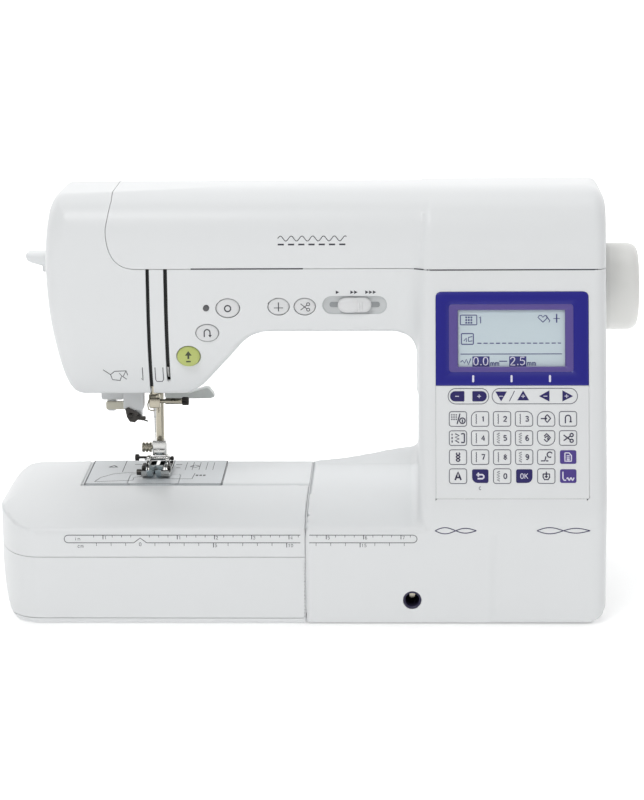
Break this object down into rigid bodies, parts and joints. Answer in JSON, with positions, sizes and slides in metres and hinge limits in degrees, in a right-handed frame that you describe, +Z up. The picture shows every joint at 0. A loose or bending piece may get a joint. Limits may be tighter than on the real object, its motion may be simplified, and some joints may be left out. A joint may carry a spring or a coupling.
{
  "type": "computerised sewing machine",
  "caption": "Free-arm household sewing machine with a display panel, push buttons, a hinged top cover, a handwheel and a slide-off flat bed.",
  "frame": {"origin": "centre of the outline at rest, on the table", "axes": "+X towards the handwheel, +Y towards the back, +Z up"},
  "size_m": [0.448, 0.2, 0.2905],
  "materials": {
    "casing": "glossy injection-moulded white plastic",
    "wheel": "satin light grey plastic",
    "key": "satin white rubber and plastic",
    "green": "translucent light green plastic",
    "bezel": "glossy deep blue plastic",
    "screen": "flat liquid-crystal glass",
    "clear": "clear plastic",
    "grey": "grey moulded plastic",
    "black": "black moulded plastic",
    "rubber": "soft dark rubber",
    "board": "green circuit board",
    "steel": "machined steel",
    "chrome": "polished plated steel",
    "cast": "die-cast aluminium"
  },
  "bodies": {
    "casing": {"front_cover": "casing", "rear_cover": "casing", "face_cover": "casing", "top_deck": "casing", "free_arm_cover": "casing", "base_tray": "grey", "main_frame": "cast", "needle_plate": "chrome", "bobbin_cover_plate": "clear", "display_bezel": "bezel", "lcd_module": "screen", "keypad": "key", "control_board": "board", "status_lamp": "grey", "foot_front_right": "rubber", "foot_rear_right": "rubber", "foot_front_left": "rubber", "foot_rear_left": "rubber", "spool_pin": "casing", "power_inlet": "black", "foot_control_jack": "black", "knee_lifter_socket": "grey", "bobbin_case": "black", "timing_belt": "black", "drive_belt": "black", "motor": "steel"},
    "lid": {"top_cover": "casing"},
    "flat_bed": {"flat_bed_attachment": "casing"},
    "door": {"accessory_door": "casing"},
    "drive_shaft": {"upper_shaft": "steel", "handwheel": "wheel"},
    "motor_rotor": {"motor_shaft": "steel"},
    "hook_shaft": {"lower_shaft": "steel"},
    "hook": {"rotary_hook": "chrome"},
    "needle_slide": {"needle_bar": "steel", "needle_clamp": "steel", "needle": "chrome"},
    "needle_screw": {"needle_clamp_screw": "steel"},
    "take_up": {"take_up_lever": "chrome"},
    "presser_slide": {"presser_bar": "steel", "presser_foot_holder": "chrome"},
    "foot_screw": {"presser_foot_screw": "steel"},
    "foot": {"presser_foot": "chrome"},
    "lift_lever": {"presser_lift_lever": "key"},
    "threader_slide": {"threader_lever": "casing"},
    "threader_carrier": {"threader_arm": "casing"},
    "buttonhole": {"buttonhole_lever": "casing"},
    "start_stop": {"start_stop_button": "key"},
    "reverse": {"reverse_button": "key"},
    "needle_position": {"needle_position_button": "key"},
    "thread_cutter": {"thread_cutter_button": "key"},
    "foot_lifter": {"presser_foot_button": "green"},
    "speed_knob": {"speed_slider_knob": "key"},
    "feeder": {"feed_dog": "steel"},
    "feed_switch": {"feed_dog_switch": "black"},
    "bobbin_spool": {"bobbin": "clear"},
    "cap": {"spool_cap": "casing"},
    "winder": {"bobbin_winder_shaft": "casing"},
    "handle": {"carry_handle": "grey"},
    "rocker": {"power_switch": "black"}
  },
  "joints": [
    {"name": "lid_hinge", "type": "hinge", "parent": "casing", "child": "lid", "pos_m": [0.03, 0.0495, 0.2895], "axis": [-1, 0, 0], "range_deg": [0, 85]},
    {"name": "flat_bed_slide", "type": "slide", "parent": "casing", "child": "flat_bed", "axis": [-1, 0, 0], "range_m": [0, 0.165]},
    {"name": "door_hinge", "type": "hinge", "parent": "flat_bed", "child": "door", "pos_m": [-0.0086, -0.0995, 0.025], "axis": [0, 0, 1], "range_deg": [0, 85]},
    {"name": "drive_spin", "type": "hinge", "parent": "casing", "child": "drive_shaft", "pos_m": [0.08, 0.012, 0.2144], "axis": [1, 0, 0], "continuous": true},
    {"name": "motor_spin", "type": "hinge", "parent": "casing", "child": "motor_rotor", "pos_m": [0.12, 0.058, 0.11], "axis": [1, 0, 0], "continuous": true},
    {"name": "hook_shaft_spin", "type": "hinge", "parent": "casing", "child": "hook_shaft", "pos_m": [-0.02, 0.022, 0.044], "axis": [1, 0, 0], "continuous": true},
    {"name": "hook_spin", "type": "hinge", "parent": "casing", "child": "hook", "pos_m": [-0.119, -0.0025, 0.06], "axis": [0, 0, 1], "continuous": true},
    {"name": "needle_bar_slide", "type": "slide", "parent": "casing", "child": "needle_slide", "axis": [0, 0, -1], "range_m": [0, 0.03]},
    {"name": "needle_screw_turn", "type": "hinge", "parent": "needle_slide", "child": "needle_screw", "pos_m": [-0.11, 0.012, 0.1316], "axis": [1, 0, 0], "continuous": true},
    {"name": "take_up_swing", "type": "hinge", "parent": "casing", "child": "take_up", "pos_m": [-0.116, -0.012, 0.214], "axis": [1, 0, 0], "range_deg": [0, 55]},
    {"name": "presser_bar_slide", "type": "slide", "parent": "casing", "child": "presser_slide", "axis": [0, 0, 1], "range_m": [0, 0.0072]},
    {"name": "foot_screw_turn", "type": "hinge", "parent": "presser_slide", "child": "foot_screw", "pos_m": [-0.129, 0.021, 0.0955], "axis": [1, 0, 0], "continuous": true},
    {"name": "foot_rock", "type": "hinge", "parent": "presser_slide", "child": "foot", "pos_m": [-0.118, 0.0195, 0.0875], "axis": [1, 0, 0], "range_deg": [-2.2, 1.4]},
    {"name": "lift_lever_swing", "type": "hinge", "parent": "casing", "child": "lift_lever", "pos_m": [-0.112, 0.06, 0.153], "axis": [0, -1, 0], "range_deg": [0, 35]},
    {"name": "threader_lever_slide", "type": "slide", "parent": "casing", "child": "threader_slide", "axis": [0, 0, -1], "range_m": [0, 0.044], "stiffness_N_per_m": 12},
    {"name": "threader_arm_slide", "type": "slide", "parent": "casing", "child": "threader_carrier", "axis": [0, 0, -1], "range_m": [0, 0.0112]},
    {"name": "buttonhole_lever_slide", "type": "slide", "parent": "casing", "child": "buttonhole", "axis": [0, 0, -1], "range_m": [0, 0.03]},
    {"name": "start_stop_press", "type": "slide", "parent": "casing", "child": "start_stop", "axis": [0, 1, 0], "range_m": [0, 0.0015], "stiffness_N_per_m": 600},
    {"name": "reverse_press", "type": "slide", "parent": "casing", "child": "reverse", "axis": [0, 1, 0], "range_m": [0, 0.0015], "stiffness_N_per_m": 600},
    {"name": "needle_position_press", "type": "slide", "parent": "casing", "child": "needle_position", "axis": [0, 1, 0], "range_m": [0, 0.0015], "stiffness_N_per_m": 600},
    {"name": "thread_cutter_press", "type": "slide", "parent": "casing", "child": "thread_cutter", "axis": [0, 1, 0], "range_m": [0, 0.0015], "stiffness_N_per_m": 600},
    {"name": "foot_lifter_press", "type": "slide", "parent": "casing", "child": "foot_lifter", "axis": [0, 1, 0], "range_m": [0, 0.0015], "stiffness_N_per_m": 600},
    {"name": "speed_knob_slide", "type": "slide", "parent": "casing", "child": "speed_knob", "axis": [1, 0, 0], "range_m": [-0.01, 0.01]},
    {"name": "feed_dog_slide", "type": "slide", "parent": "casing", "child": "feeder", "axis": [0, 1, 0], "range_m": [-0.0022, 0.0022]},
    {"name": "feed_switch_slide", "type": "slide", "parent": "casing", "child": "feed_switch", "axis": [1, 0, 0], "range_m": [0, 0.015]},
    {"name": "bobbin_spin", "type": "hinge", "parent": "casing", "child": "bobbin_spool", "pos_m": [-0.119, -0.0025, 0.065], "axis": [0, 0, 1], "continuous": true},
    {"name": "spool_cap_slide", "type": "slide", "parent": "casing", "child": "cap", "axis": [-1, 0, 0], "range_m": [0, 0.03]},
    {"name": "winder_spin", "type": "hinge", "parent": "casing", "child": "winder", "pos_m": [0.168, 0.004, 0.25], "axis": [0, 0, 1], "continuous": true},
    {"name": "handle_swing", "type": "hinge", "parent": "casing", "child": "handle", "pos_m": [-0.02, 0.083, 0.248], "axis": [1, 0, 0], "range_deg": [0, 165]},
    {"name": "power_rocker", "type": "hinge", "parent": "casing", "child": "rocker", "pos_m": [0.197, 0.07, 0.063], "axis": [0, 0, 1], "range_deg": [-6, 6]}
  ],
  "couplings": [
    {"joint": "motor_spin", "follows": "drive_spin", "ratio": 2.5},
    {"joint": "hook_shaft_spin", "follows": "drive_spin", "ratio": 1},
    {"joint": "hook_spin", "follows": "drive_spin", "ratio": 2},
    {"joint": "threader_arm_slide", "follows": "threader_lever_slide", "ratio": 0.25},
    {"joint": "presser_bar_slide", "follows": "lift_lever_swing", "m_per_rad": 0.0117}
  ]
}
